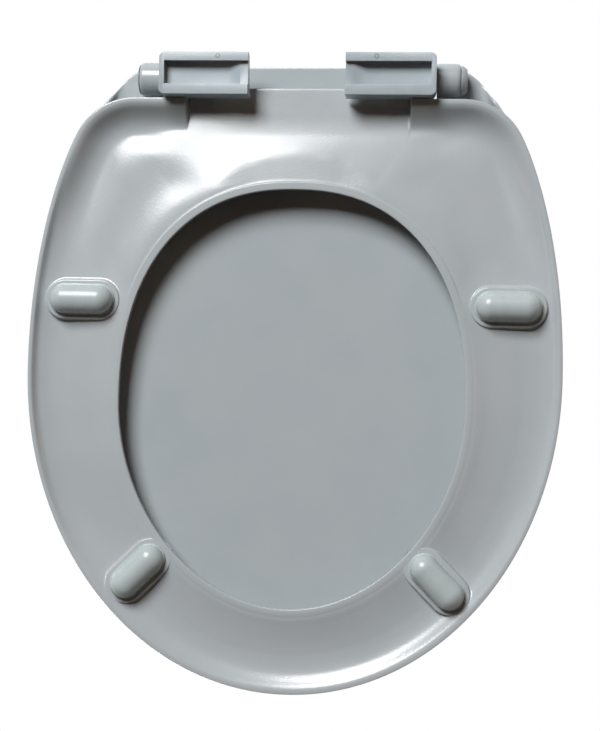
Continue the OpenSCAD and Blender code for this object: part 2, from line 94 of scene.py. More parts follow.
def bezier(p, t):
    """Point and outward normal of a cubic Bezier curve that runs clockwise round the seat."""
    p, t = np.asarray(p, float), np.asarray(t, float)[:, None]
    point = (1 - t) ** 3 * p[0] + 3 * t * (1 - t) ** 2 * p[1] + 3 * t * t * (1 - t) * p[2] + t ** 3 * p[3]
    along = (1 - t) ** 2 * (p[1] - p[0]) + 2 * t * (1 - t) * (p[2] - p[1]) + t * t * (p[3] - p[2])
    along = unit(along)
    return point, np.stack([-along[:, 1], along[:, 0]], 1)


def spline(rows, steps, closed):
    """Uniform cubic B-spline along axis 1 of an array of control points: each span is the four
    nearest points weighed by the cubic blending polynomials. An open spline starts and ends on its ends."""
    if closed:
        c = np.concatenate([rows[:, -1:], rows, rows[:, :2]], 1)
    else:
        first, last = 2 * rows[:, :1] - rows[:, 1:2], 2 * rows[:, -1:] - rows[:, -2:-1]
        c = np.concatenate([first, rows, last], 1)
    t = (np.arange(steps) / steps)[None, None, :, None]
    a, b, d, e = (c[:, i:c.shape[1] - 3 + i, None] for i in range(4))
    span = ((1 - t) ** 3 * a + (3 * t ** 3 - 6 * t ** 2 + 4) * b
            + (-3 * t ** 3 + 3 * t ** 2 + 3 * t + 1) * d + t ** 3 * e) / 6
    out = span.reshape(rows.shape[0], -1, rows.shape[2])
    return out if closed else np.concatenate([out, rows[:, -1:]], 1)


# seat outline
def corner(a):
    """Arc of the back corner: centre plus radius times (sin a, cos a)."""
    a = np.radians(a)
    n = np.stack([np.sin(a), np.cos(a)], 1)
    return np.array([BACK_HALF, SKIRT_Y - CORNER_R]) + CORNER_R * n, n


def side(t):
    """Bezier curve from the corner's end to the widest place."""
    end, n = corner(np.array([CORNER_TURN]))
    end, along = end[0], np.array([n[0, 1], -n[0, 0]])
    return bezier([end, end + PULL_BACK * along, [SEAT_HALF, PULL_WIDE - WIDE_AT], [SEAT_HALF, -WIDE_AT]], t)


def front(a):
    """Superellipse from the widest place to the middle of the front."""
    a = np.radians(a)
    b = SEAT_FRONT - WIDE_AT
    s, c = np.sin(a) ** (2 / FRONT_FULL), np.abs(np.cos(a)) ** (2 / FRONT_FULL)
    n = unit(np.stack([c ** (FRONT_FULL - 1) / SEAT_HALF, -s ** (FRONT_FULL - 1) / b], 1))
    return np.stack([SEAT_HALF * c, -WIDE_AT - b * s], 1), n


def seat_half():
    """Stations of one half, from the middle of the back edge round to the middle of the front."""
    x = np.concatenate([np.linspace(0, 76, 25), STEP_X + np.linspace(-0.9, 0.9, 9),
                        np.linspace(80.5, BACK_HALF, 13)[:-1]])
    parts = [
        (np.stack([x, np.full_like(x, SKIRT_Y)], 1), np.tile([0.0, 1.0], (len(x), 1))),
        corner(np.linspace(0, CORNER_TURN, 27)[:-1]),
        side(np.linspace(0, 1, 37)[:-1]),
        front(np.linspace(0, 90, 96)),
    ]
    return np.concatenate([p[0] for p in parts]), np.concatenate([p[1] for p in parts])


def both_halves(rows):
    """The rows of one half, then their mirror images in reverse, without the two rows on the middle."""
    other = rows[-2:0:-1].copy()
    other[..., 0] *= -1
    return np.concatenate([rows, other])


def hole_point(a):
    """Edge of the oval hole in direction a from its own middle: a superellipse with its own fullness
    front and back."""
    s, c = np.sin(a), np.cos(a)
    b = np.where(s > 0, HOLE_MID - HOLE_BACK, HOLE_FRONT - HOLE_MID)
    n = np.where(s > 0, HOLE_FULL_BACK, HOLE_FULL_FRONT)
    r = ((np.abs(c) / HOLE_HALF) ** n + (np.abs(s) / b) ** n) ** (-1 / n)
    return np.stack([r * c, r * s - HOLE_MID], -1)


def hole_normal(a):
    """Direction out of the hole at its edge, from two near points."""
    d = unit(hole_point(a + 0.01) - hole_point(a - 0.01))
    return np.stack([d[..., 1], -d[..., 0]], -1)


def backness(y):
    """Share of the back's shape: 0 from 150 mm in front of the hinge, 1 from 45 mm."""
    return smooth((y + 150) / 105)


def frontness(y):
    """Share of the front's shape: 0 from 176 mm behind the front edge, 1 from 46 mm."""
    return smooth((176 - SEAT_FRONT - y) / 130)


def hollow_z(y):
    """Height of the ring's hollow underside."""
    return HOLLOW_Z + HOLLOW_BACK * backness(y) + HOLLOW_FRONT * frontness(y)


def crown_z(y):
    """Height of the ring's top."""
    return hollow_z(y) + WALL


# Inner wall of the rim: distance in from the outline, then the share of the hollow's depth reached there at
# the back, at the sides and at the front
RIM_WALL = np.array([
    [3.3, 0.01, 0.13, 0.02], [4.8, 0.07, 0.46, 0.09], [6.6, 0.18, 0.66, 0.26], [9.0, 0.385, 0.77, 0.51],
    [12.0, 0.61, 0.88, 0.755], [15.5, 0.81, 0.965, 0.91], [19.5, 0.945, 1.0, 0.985], [24.0, 1.0, 1.0, 1.0]])
RIM_DEPTH = RIM_WALL[-1, 0]
# The hinge plate falls slightly to the front: how far, then the share of it at the last 11 rows, in the
# middle and beside the steps
PLATE_DROP = 1.9
PLATE_FALL = np.array([0.05, 0.10, 0.17, 0.20, 0.23, 0.27, 0.32, 0.38, 0.49, 0.70, 1.0])
PLATE_FALL_SIDE = np.array([0, 0, 0, 0, 0.01, 0.02, 0.05, 0.12, 0.31, 0.62, 1.0])
# Fall from the hollow to the lip: share of the way, then share of the fall at the back corners, at the
# sides and at the front
FALL = np.array([
    [0.08, 0.11, 0.04, 0.01], [0.18, 0.264, 0.11, 0.07], [0.30, 0.392, 0.20, 0.15],
    [0.42, 0.44, 0.28, 0.25], [0.55, 0.485, 0.38, 0.39], [0.68, 0.575, 0.51, 0.55],
    [0.80, 0.745, 0.66, 0.71], [0.87, 0.864, 0.775, 0.80], [0.94, 0.955, 0.90, 0.905]])
# In front of the hinge plate the fall is steep first and gentle after a bend, which lies nearer to the
# hinge in the middle than beside the steps
BEND_MID, BEND_SIDE, GENTLE = 0.44, 0.93, 0.55
# Lip round the hole: distance out from its edge, height above LIP_Z at the back, where it has a step, and
# elsewhere; then the share of the step that is left beside the middle
LIP = np.array([
    [9, 2.3, 1.1], [7.6, 2.15, 0.8], [6.6, 2.0, 0.66], [5.9, 1.75, 0.58], [5.6, 0.85, 0.53],
    [5.3, 0.12, 0.48], [4.9, 0.02, 0.38], [3.4, 0.0, 0.1], [1.6, 0.0, 0.02], [0.7, 0.03, 0.05],
    [0.3, 0.16, 0.16], [0.05, 0.5, 0.5], [0, 1.2, 1.2], [0, 3.6, 3.6]])
STEP_LEFT = 0.42
# Top at the hole: distance out from its edge, height above LIP_TOP_Z
LIP_TOP = np.array([[0.1, -2.4], [0.6, -1.1], [2, -0.3], [4, 0], [9, 1]])


def seat_sections():
    """Closed control sections of the ring at every station: crown, rolled rim, hollow, lip, hole edge
    and top. The rows of the rim and of the rimless hinge plate are mixed by the distance past the step."""
    p, n = seat_half()
    y = p[:, 1]
    w = backness(y)[:, None]
    f = frontness(y)[:, None]
    # Shares of the shape beside the middle and of the shape past the steps
    k = smooth((p[:, :1] - 36) / 46)
    k2 = smooth((p[:, :1] - 80) / 40)
    drop = PLATE_DROP * (1 - k2)
    plate_fall = mix(PLATE_FALL, PLATE_FALL_SIDE, k)
    c, h = crown_z(y)[:, None], hollow_z(y)[:, None]
    r = np.full_like(h, RIM_Z)
    rim = np.where(y < SKIRT_Y - 1, 1.0, smooth((p[:, 0] - STEP_X + 0.8) / 1.6))[:, None]

    def share(table):
        """Shares at the back, the sides and the front, mixed for each station."""
        return table[:, 1] + (table[:, 0] - table[:, 1]) * w + (table[:, 2] - table[:, 1]) * f

    d_rim = np.array([22, 16, 11, 7, 5, 4.1, 3.4, 2.85, 2.3, 1.2, 0.25, -0.12, -0.1, 0.15, 1.4, 2.5]
                     + list(RIM_WALL[:, 0]))
    z_rim = np.concatenate([
        c, c - 0.25, c - 0.9, c - 2.1, mix(c, h, 0.52), mix(c, h, 0.68), mix(c, h, 0.82), mix(c, h, 0.96),
        mix(h, r, 0.1), mix(h, r, 0.33), mix(h, r, 0.58), mix(h, r, 0.8), mix(h, r, 0.96),
        r, r - 0.06, r - 0.03, mix(r, h, share(RIM_WALL[:, 1:]))], 1)
    z_rim[:, -1:] -= drop * w
    e = SKIRT_Y - PLATE_Y
    d_plate = np.array([22, 12, 5, 0, -4, e + 2.4, e + 1.0, e + 0.3, e, e, e + 0.1, e + 0.6, e + 1.5]
                       + [-5, -2, 1.5] + list(RIM_WALL[:, 0]))
    z_plate = np.concatenate([c, c, c, c, c, c, c - 0.3, c - 1.2, c - 2.4, h + 1.4, h + 0.5, h + 0.1, h]
                             + [h - drop * plate_fall], 1)
    d = mix(d_plate, d_rim, rim)
    z = mix(z_plate, z_rim, rim)
    outer = np.concatenate([p[:, None] - d[..., None] * n[:, None], z[..., None]], 2)

    a = np.arctan2(y + HOLE_MID, p[:, 0])
    q, m = hole_point(a), hole_normal(a)
    start, end = p - RIM_DEPTH * n, q + LIP[0, 0] * m
    way = (end - start)[:, None]
    bend = np.minimum(mix(BEND_MID, BEND_SIDE, (p[:, :1] / 75) ** 1.6), BEND_SIDE)
    t = FALL[:, 0]
    plate = np.where(t < bend, t * (1 - GENTLE * (1 - bend)) / bend, 1 - GENTLE * (1 - t))
    plate = plate - 0.2 * k * t * (1 - t)
    back_fall = mix(plate, FALL[:, 1], k2)
    fall = FALL[:, 2] + (back_fall - FALL[:, 2]) * w + (FALL[:, 3] - FALL[:, 2]) * f
    step = smooth((y + HOLE_BACK + 45) / 40)[:, None]
    rise = mix(1, mix(1.0, STEP_LEFT, k), step)
    under_z = mix(h - drop * w, LIP_Z + mix(LIP[0, 2], rise * LIP[0, 1], step), fall)
    under = np.concatenate([start[:, None] + FALL[:, 0][None, :, None] * way, under_z[..., None]], 2)
    lip_d = np.concatenate([LIP[:, 0], LIP_TOP[:, 0]])
    at_back = mix(LIP[:, 1], rise * LIP[:, 1], LIP[:, 0] > 3)
    lip_top_z = np.tile(LIP_TOP_Z + LIP_TOP[:, 1], (len(p), 1))
    lip_z = np.concatenate([LIP_Z + mix(LIP[:, 2], at_back, step), lip_top_z], 1)
    inner = np.concatenate([q[:, None] + lip_d[None, :, None] * m[:, None], lip_z[..., None]], 2)
    t = np.array([0.75, 0.5, 0.25])
    top_z = mix(c, LIP_TOP_Z + 1, np.array([0.8, 0.5, 0.2]))
    top = np.concatenate([start[:, None] + t[None, :, None] * way, top_z[..., None]], 2)
    return np.concatenate([outer, under, inner, top], 1)


# meshes

MM = 0.001
MERGE = 0.002 * MM


def grid_faces(n, k, along):
    """Quads of an n by k grid of points, closed along its first way, and with along closed along its
    second way."""
    i, j = np.meshgrid(np.arange(n), np.arange(k if along else k - 1), indexing="ij")
    i, j = i.ravel(), j.ravel()
    i2, j2 = (i + 1) % n, (j + 1) % k
    return np.stack([i * k + j, i * k + j2, i2 * k + j2, i2 * k + j], 1)


class Shell:
    """Gathers grids and fans of points in millimetres, and makes one mesh in metres of them."""

    def __init__(self):
        self.points, self.quads, self.tris, self.count = [], [], [], 0

    def grid(self, g, along=False):
        """Adds a grid of points, closed along its first way, and with along closed along its second way
        too."""
        n, k = g.shape[:2]
        self.quads.append(grid_faces(n, k, along) + self.count)
        self.points.append(g.reshape(-1, 3))
        self.count += n * k
        return self

    def fan(self, ring, middle):
        """Adds a closed ring of points and the triangles from it to a middle point."""
        n = len(ring)
        i = np.arange(n)
        self.tris.append(np.stack([i, (i + 1) % n, np.full(n, n)], 1) + self.count)
        self.points.append(np.vstack([ring, np.reshape(middle, (1, 3))]))
        self.count += n + 1
        return self

    def piece(self, name, body, nodes, material, slot, mirror=1, sharp=None):
        """Makes the object, which stands for the CAD nodes and rides on the body."""
        v = np.concatenate(self.points) * MM
        if mirror < 0:
            v = v * [-1, 1, 1]
        faces = [f for q in self.quads for f in q.tolist()] + [f for t in self.tris for f in t.tolist()]
        if mirror < 0:
            faces = [f[::-1] for f in faces]
        me = bpy.data.meshes.new(name)
        me.from_pydata(v.tolist(), [], faces)
        me.validate()
        return finish_piece(me, name, body, nodes, material, sharp)


def finish_piece(me, name, body, nodes, material, sharp=None):
    """Merges doubles, smooths the shading, sets the material and fastens the piece to its body."""
    bm = bmesh.new()
    bm.from_mesh(me)
    bmesh.ops.remove_doubles(bm, verts=bm.verts, dist=MERGE)
    bmesh.ops.dissolve_degenerate(bm, edges=bm.edges, dist=1e-7)
    bmesh.ops.recalc_face_normals(bm, faces=bm.faces)
    bm.to_mesh(me)
    bm.free()
    me.shade_smooth()
    if sharp:
        me.set_sharp_from_angle(angle=math.radians(sharp))
    me.materials.append(material)
    o = bpy.data.objects.new(name, me)
    bpy.context.scene.collection.objects.link(o)
    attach(o, body)
    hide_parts(*nodes)
    return o


# materials

# Middle of the gate's scar on the left block's foot and the radius of its ring, metres
GATE, GATE_R = (0.0547, 0.0118, 0.0), 0.0013


def linear(hexa):
    """sRGB hex colour as linear RGBA."""
    c = np.array([int(hexa[i:i + 2], 16) for i in (1, 3, 5)]) / 255
    c = np.where(c <= 0.04045, c / 12.92, ((c + 0.055) / 1.055) ** 2.4)
    return (*c.tolist(), 1.0)


def add(tree, kind, **settings):
    """Adds a node. A setting is a property, or a socket's value or link; a_0 and the like is a socket's
    number."""
    node = tree.nodes.new(kind)
    for key, value in settings.items():
        socket = key.replace("_", " ") if key[0].isupper() else int(key[2:]) if key.startswith("a_") else None
        if socket is None:
            setattr(node, key, value)
        elif isinstance(value, bpy.types.NodeSocket):
            tree.links.new(value, node.inputs[socket])
        else:
            node.inputs[socket].default_value = value
    return node


def calc(tree, operation, a, b=0.0, **more):
    """Result of one sum of numbers or links."""
    return add(tree, "ShaderNodeMath", operation=operation, a_0=a, a_1=b, **more).outputs[0]


def blend(tree, share, a, b):
    """Colour a where share is 0, colour b where it is 1."""
    return add(tree, "ShaderNodeMix", data_type="RGBA", a_0=share, a_6=a, a_7=b).outputs[2]


def distance(tree, point, centre):
    """Distance in metres of a point from a fixed centre."""
    return add(tree, "ShaderNodeVectorMath", operation="DISTANCE", a_0=point, a_1=centre).outputs["Value"]


def ramp(tree, value, low, high, start=0.0, end=1.0, kind="LINEAR"):
    """Runs from start to end while value goes from low to high."""
    return add(tree, "ShaderNodeMapRange", interpolation_type=kind, Value=value, From_Min=low, From_Max=high,
               To_Min=start, To_Max=end).outputs["Result"]


def noise(tree, where, scale, detail, **more):
    """Cloudy pattern, mostly between 0.3 and 0.7."""
    return add(tree, "ShaderNodeTexNoise", Vector=where, Scale=scale, Detail=detail, **more).outputs["Fac"]


def new_material(name):
    """Material without nodes, and its node tree."""
    m = bpy.data.materials.new(name)
    m.use_nodes = True
    m.node_tree.nodes.clear()
    return m, m.node_tree


def plastic(tree, ior, colour, rough, relief, strength, depth):
    """Plastic's surface, with a relief of the given strength and depth in metres."""
    bump = add(tree, "ShaderNodeBump", Strength=strength, Distance=depth, Height=relief)
    surface = add(tree, "ShaderNodeBsdfPrincipled", IOR=ior, Base_Color=colour, Roughness=rough,
                  Normal=bump.outputs["Normal"])
    add(tree, "ShaderNodeOutputMaterial", Surface=surface.outputs["BSDF"])


def glossy_urea(name, tone, deep):
    """Compression-moulded urea, as seats are pressed: hard, dense and high in gloss. The eye sees a
    clean grey with a clear highlight, a faint cloudiness of the filler and a slight orange peel of about
    1.5 mm at the highlight's edge."""
    m, t = new_material(name)
    place = add(t, "ShaderNodeTexCoord").outputs["Object"]
    cloud = ramp(t, noise(t, place, 22.0, 3.0, Roughness=0.55), 0.3, 0.7)
    rub = noise(t, place, 60.0, 4.0, Roughness=0.6)
    peel = noise(t, place, 650.0, 1.0)
    colour = blend(t, cloud, linear(tone), linear(deep))
    plastic(t, 1.54, colour, ramp(t, rub, 0.3, 0.7, 0.20, 0.25), peel, 0.11, 0.0004)
    return m


def satin_polypropylene():
    """Injection-moulded polypropylene of the hinges: cooler grey, satin, with a very fine spark-eroded
    grain of the mould (0.4 mm) and slow flow marks, so its highlight is wide and weak. Each foot has the
    small ring-shaped scar of the gate, where the plastic came in."""
    m, t = new_material("moulded_polypropylene_satin_grey")
    place = add(t, "ShaderNodeTexCoord").outputs["Object"]
    flow = noise(t, place, 70.0, 3.0, Distortion=0.6)
    colour = blend(t, ramp(t, flow, 0.3, 0.7), linear("#afbac0"), linear("#a7b3ba"))
    part = add(t, "ShaderNodeSeparateXYZ", a_0=place).outputs
    left = calc(t, "ABSOLUTE", part["X"])
    mirrored = add(t, "ShaderNodeCombineXYZ", a_0=left, a_1=part["Y"], a_2=part["Z"])
    away = distance(t, mirrored.outputs[0], GATE)
    off_ring = calc(t, "ABSOLUTE", calc(t, "SUBTRACT", away, GATE_R))
    colour = blend(t, ramp(t, off_ring, 0.0001, 0.0008, 0.95, 0.0), colour, linear("#7d888c"))
    grain = noise(t, place, 2400.0, 2.0)
    plastic(t, 1.49, colour, ramp(t, flow, 0.3, 0.7, 0.31, 0.40), grain, 0.12, 0.0002)
    return m


def soft_vinyl():
    """Soft moulded vinyl of the bumpers: paler and greener than the seat, slightly clouded, with a
    smooth skin that keeps a narrow highlight."""
    m, t = new_material("moulded_soft_vinyl_pale_grey")
    place = add(t, "ShaderNodeTexCoord").outputs["Object"]
    cloud = noise(t, place, 120.0, 3.0)
    colour = blend(t, ramp(t, cloud, 0.3, 0.7), linear("#b8c3c4"), linear("#b0bcbe"))
    skin = noise(t, place, 900.0, 1.0)
    plastic(t, 1.5, colour, ramp(t, cloud, 0.3, 0.7, 0.24, 0.32), skin, 0.06, 0.0003)
    return m


SEAT_MAT = glossy_urea("pressed_urea_glossy_grey", "#b3babe", "#aeb6ba")
LID_MAT = glossy_urea("pressed_urea_glossy_grey_lid", "#afb7bb", "#aab3b8")
BLOCK_MAT = satin_polypropylene()
BUMPER_MAT = soft_vinyl()


# stadium shapes
def stadium_ring(place):
    """Points and outward directions of a bumper's edge, a stadium: a half circle of 24 points at each
    end of a straight bar, turned and moved to its place. Each straight side has seven points between its
    ends."""
    x, y, turn = place
    r, s = BUMPER_WIDE / 2, (BUMPER_LONG - BUMPER_WIDE) / 2
    a = np.radians(np.linspace(-90, 90, 24))
    right = np.stack([s + r * np.cos(a), r * np.sin(a)], 1), np.stack([np.cos(a), np.sin(a)], 1)
    t = np.linspace(1, -1, 9)[1:-1, None]
    top = np.concatenate([t * s, np.full_like(t, r)], 1), np.tile([0.0, 1.0], (7, 1))
    p = np.concatenate([right[0], top[0], -right[0], -top[0]])
    n = np.concatenate([right[1], top[1], -right[1], -top[1]])
    c, q = math.cos(math.radians(turn)), math.sin(math.radians(turn))
    m = np.array([[c, q], [-q, c]])
    return p @ m + [x, y], n @ m


def stadium_rows(place, rows):
    """Grid of a stadium whose section is the spline of rows of [distance out from the edge, height]."""
    p, n = stadium_ring(place)
    rows = spline(np.asarray(rows, float)[None], 3, False)[0]
    inset = np.clip(rows[:, 0], -BUMPER_WIDE / 2 + 0.02, None)
    xy = p[:, None] + inset[None, :, None] * n[:, None]
    return np.concatenate([xy, np.tile(rows[:, 1][None, :, None], (len(p), 1, 1))], 2)


# seat ring
sections = both_halves(spline(seat_sections(), 3, True))


def under_height(xy, grid):
    """Height of the ring's underside at points xy: the nearest grid point, moved along its own tangent
    plane."""
    du = np.roll(grid, -1, 0) - np.roll(grid, 1, 0)
    dv = np.roll(grid, -1, 1) - np.roll(grid, 1, 1)
    n = np.cross(du, dv).reshape(-1, 3)
    g = grid.reshape(-1, 3)
    n = n / np.maximum(np.linalg.norm(n, axis=1, keepdims=True), 1e-9)
    lo, hi = xy.reshape(-1, 2).min(0) - 6, xy.reshape(-1, 2).max(0) + 6
    keep = ((g[:, 0] > lo[0]) & (g[:, 0] < hi[0]) & (g[:, 1] > lo[1]) & (g[:, 1] < hi[1])
            & (g[:, 2] < LIP_TOP_Z) & (np.abs(n[:, 2]) > 0.5))
    g, n = g[keep], n[keep]
    flat = xy.reshape(-1, 2)
    near = np.argmin(((flat[:, None] - g[None, :, :2]) ** 2).sum(2), 1)
    g, n = g[near], n[near]
    z = g[:, 2] - ((flat - g[:, :2]) * n[:, :2]).sum(1) / n[:, 2]
    return z.reshape(xy.shape[:-1])


def pad_grid(place):
    """Moulded pad under a bumper: a stadium whose face lies at PAD_Z and whose edge runs out into the
    ring's underside. Each row is [distance out from the edge, share of the way from the pad's height to
    the ring's]."""
    rows = np.array([[-2, 0], [0.5, 0], [1.7, 0], [2.3, 0.02], [2.75, 0.08], [3.05, 0.2], [3.2, 0.4],
                     [3.3, 0.65], [3.45, 0.85], [3.8, 0.96], [4.6, 1.0], [5.4, 1.03]])
    rows = spline(rows[None], 3, False)[0]
    p, n = stadium_ring(place)
    xy = p[:, None] + rows[None, :, :1] * n[:, None]
    under = under_height(xy, sections)
    z = mix(PAD_Z, np.maximum(under, PAD_Z - 0.6), rows[None, :, 1]) + 0.05 * (rows[None, :, 1] >= 0.999)
    return np.concatenate([xy, z[..., None]], 2)


def turned(rows, steps, count):
    """Spline through rows of [x, radius] with steps points a row, turned round the hinge axis in count
    steps."""
    p = spline(np.array(rows, float)[None], steps, False)
    a = np.radians(np.linspace(0, 360, count, endpoint=False))[:, None]
    return np.stack([np.broadcast_to(p[..., 0], (count, p.shape[1])), p[..., 1] * np.sin(a),
                     HINGE_Z + p[..., 1] * np.cos(a)], 2)


def ear(shell, s):
    """Ear that carries the pin: a round eye with a web that spreads to the hinge plate. Its outer rim in
    direction a is mixed from the eye's circle and the web's two straight sides; four rows round each
    end's edge."""
    a = np.radians(np.linspace(0, 360, 96, endpoint=False))
    y, z = np.sin(a), np.cos(a)
    circle = np.stack([y, z], 1)
    axis = np.array([0, HINGE_Z])
    eye = axis + KNUCKLE_R * circle
    web = np.stack([np.full(len(a), EAR_WEB_Y), HINGE_Z + np.clip(z * 40, -2.6, 3.2)], 1)
    far = np.where(y[:, None] < 0, web, eye)
    rim = mix(eye, far, smooth(-y * 1.15)[:, None])
    bore = axis + (PIN_R + 0.08) * circle
    edge = [(EAR_IN, -0.8), (EAR_IN + 0.25, -0.25), (EAR_IN + 0.8, 0),
            (EAR_OUT - 0.8, 0), (EAR_OUT - 0.25, -0.25), (EAR_OUT, -0.8)]
    rows = [(x, rim + out * unit(rim - axis)) for x, out in edge] + [(EAR_OUT, bore), (EAR_IN, bore)]
    shell.grid(np.stack([np.concatenate([np.full((len(a), 1), s * x), yz], 1) for x, yz in rows], 1), True)


ring = Shell().grid(sections, True)
for side_sign in (1, -1):
    for place in (SIDE_BUMPER, FRONT_BUMPER):
        ring.grid(pad_grid(place) * [side_sign, 1, 1])
    ear(ring, side_sign)
ring.piece("seat_ring_moulding", "seat", ["seat_ring"], SEAT_MAT, "seat_moulding")


# bumpers
def bumper_rows():
    """Section of a bumper, [distance out from its edge, height]: a quarter ellipse from the crown's
    ridge to a steep side, then a thin flange on the pad."""
    t = np.radians(np.linspace(0, 86, 16))
    half = BUMPER_WIDE / 2
    crown = np.stack([(half - 0.8) * np.sin(t) - half, BUMPER_CROWN * (1 - np.cos(t))], 1)
    flange = [[-0.8, BUMPER_CROWN], [-0.8, 10.05], [-0.75, 10.2], [-0.5, 10.25], [-0.12, 10.3], [0, 10.5],
              [0, 11.2], [0, PAD_Z]]
    return np.concatenate([crown, flange, [[-1, PAD_Z + 0.1]]])


def bumper(name, place, mirror):
    """Soft bumper: a long loaf with a round crown, steep sides and a thin foot flange."""
    g = stadium_rows(place, bumper_rows())
    s = Shell().grid(g)
    s.fan(g[:, 0], [*place[:2], 0.0])
    s.fan(g[:, -1], [*place[:2], PAD_Z + 0.1])
    s.piece(name + "_moulding", "seat", [name], BUMPER_MAT, "bumper_soft", mirror)


for word, sign in (("left", 1), ("right", -1)):
    bumper("seat_bumper_side_" + word, SIDE_BUMPER, sign)
    bumper("seat_bumper_front_" + word, FRONT_BUMPER, sign)


# lid
def lid_half():
    """Stations of the lid's outline: straight back edge, corner curve, then the seat's outline pushed out."""
    join, jn = corner(np.array([CORNER_TURN - 4]))
    end = (join + LID_OVER * jn)[0]
    along = np.array([jn[0, 1], -jn[0, 0]])
    x = np.concatenate([
        np.linspace(0, NOTCH_IN - 1, 22), NOTCH_IN + np.array([-0.2, -0.05, 0.05]),
        np.linspace(NOTCH_IN + 0.2, BLOCK_OUT, 8), NOTCH_OUT + np.array([-0.05, 0.05]),
        np.linspace(NOTCH_OUT + 1.1, LID_STRAIGHT, 4)[:-1]])
    bend = bezier([[LID_STRAIGHT, LID_BACK], [LID_STRAIGHT + 22, LID_BACK], end - 42 * along, end],
                  np.linspace(0, 1, 49)[:-1])
    seat = (corner(np.linspace(CORNER_TURN - 4, CORNER_TURN, 4)[:-1]), side(np.linspace(0, 1, 37)[:-1]),
            front(np.linspace(0, 90, 96)))
    straight = np.stack([x, np.full_like(x, LID_BACK)], 1)
    p = np.concatenate([straight, bend[0]] + [q[0] + LID_OVER * q[1] for q in seat])
    n = np.concatenate([np.tile([0.0, 1.0], (len(x), 1)), bend[1]] + [q[1] for q in seat])
    notch = np.concatenate([(x > NOTCH_IN) & (x < NOTCH_OUT), np.zeros(len(p) - len(x), bool)])
    return p, n, notch


def lid_face_z(y):
    """Height of the lid's underside, which falls evenly from 22 mm in front of the hinge to the front."""
    return HINGE_Z + LID_FACE - LID_FALL * np.maximum(0, -y - 22) / (SEAT_FRONT - 22)


def lid_sections():
    """Open control sections of the lid from its top middle round the edge to its underside's middle.
    Behind the hinge axis the edge is a round-over about the axis, elsewhere a rolled edge that hangs
    over the ring."""
    p, n, notch = lid_half()
    y = p[:, 1:2]
    w = smooth((1 - y) / 17)
    f = HINGE_Z + LID_FACE
    top = f + LID_WALL
    roll = SWEEP_R - 0.45

    def roll_z(d):
        """Height of the round-over, distance d in: a circle round the axis, cut at the top."""
        return min(top, HINGE_Z + math.sqrt(roll ** 2 - (LID_BACK - d) ** 2))

    # Rows of the round-over: distance in from the outline, height
    d_top = [7.3, 5.8, 4.4, 3.2, 2.1, 1.2, 0.5, 0.05]
    d_roll = np.array([LID_REACH, 24, 15, 10] + d_top + [-0.05, 0.1, 0.8, 2.2, 7, 15, 24, LID_REACH])
    z_roll = np.array([top] * 4 + [roll_z(d) for d in d_top] + [f + 0.4, f + 0.08] + [f] * 6)
    # Rows of the rolled edge over the ring, from the top t by the edge's lowest line e to the underside g
    g = lid_face_z(y)
    t = g + LID_WALL
    e = np.minimum(crown_z(y) - 1, g - 4)
    d_lip = np.array([LID_INNER, 20.5, 15, 9.5, 5.5, 2.8, 1.0, 0.05, -0.1, 0.1]
                     + [0.75, 1.5, 2.4, 3.1, 3.6, 4.6, 7, 13, 20.5, LID_INNER])
    z_lip = np.concatenate([
        t + 0.2, t + 0.1, t, t - 0.5, t - 1.5, t - 3, t - 5.2, mix(t, e, 0.78), mix(t, e, 0.92), e + 0.3,
        e - 0.05, e - 0.05, e + 0.4, e + 1.5, mix(e, g, 0.4), mix(e, g, 0.72), mix(e, g, 0.93), g, g, g], 1)
    d, z = mix(d_roll, d_lip, w), mix(z_roll, z_lip, w)
    # Only beside the notches do the innermost rows reach past the notch's wall
    past = np.maximum(smooth((p[:, :1] - LID_STRAIGHT + 4) / 4), w)
    d[:, [0, -1]] = mix(LID_REACH, LID_INNER, past)
    d[:, [1, -2]] = mix(24, 20.5, past)
    edge = np.concatenate([p[:, None] - d[..., None] * n[:, None], z[..., None]], 2)
    c = np.array([0, -WIDE_AT])
    s = np.array([0.03, 0.12, 0.25, 0.4, 0.55, 0.7, 0.82, 0.92])

    def middle(s, rise, z0):
        """Rows at shares s of the way from the lid's middle, domed by rise."""
        q = c + s[None, :, None] * (p[:, None] - LID_INNER * n[:, None] - c)
        zz = lid_face_z(q[..., 1]) + z0 + rise * (1 - s ** 2) ** 2
        return np.concatenate([q, zz[..., None]], 2)

    rows = np.concatenate([middle(s, 4.0, LID_WALL + 0.1), edge, middle(s[::-1], 2.0, 0.0)], 1)
    return rows, notch


def lid_piece():
    """The lid's skin. Between the two sides of a notch every point is held in front of the notch's wall,
    which leaves two straight side walls and a straight back wall round the knuckle."""
    rows, notch = lid_sections()
    g = spline(rows, 3, False)
    g[notch, :, 1] = np.minimum(g[notch, :, 1], NOTCH_WALL_Y)
    g = both_halves(g)
    s = Shell().grid(g)
    s.fan(g[:, 0], g[:, 0].mean(0)).fan(g[:, -1], g[:, -1].mean(0))
    x0, x1, r, bore = BARREL_IN, BARREL_OUT, BARREL_R, PIN_R + 0.02
    barrel = [[x0, bore], [x0, r - 0.4], [x0 + 0.1, r - 0.1], [x0 + 0.4, r], [x0 + 5, r], [x1 - 5, r],
              [x1 - 2.6, r - 0.05], [x1 - 1.2, r - 0.5], [x1 - 0.3, r - 1.5], [x1, r - 2.8], [x1, bore]]
    for k in (1, -1):
        s.grid(turned(barrel, 4, 96) * [k, 1, 1])
    s.piece("lid_moulding", "lid", ["lid"], LID_MAT, "seat_moulding", sharp=40)


lid_piece()


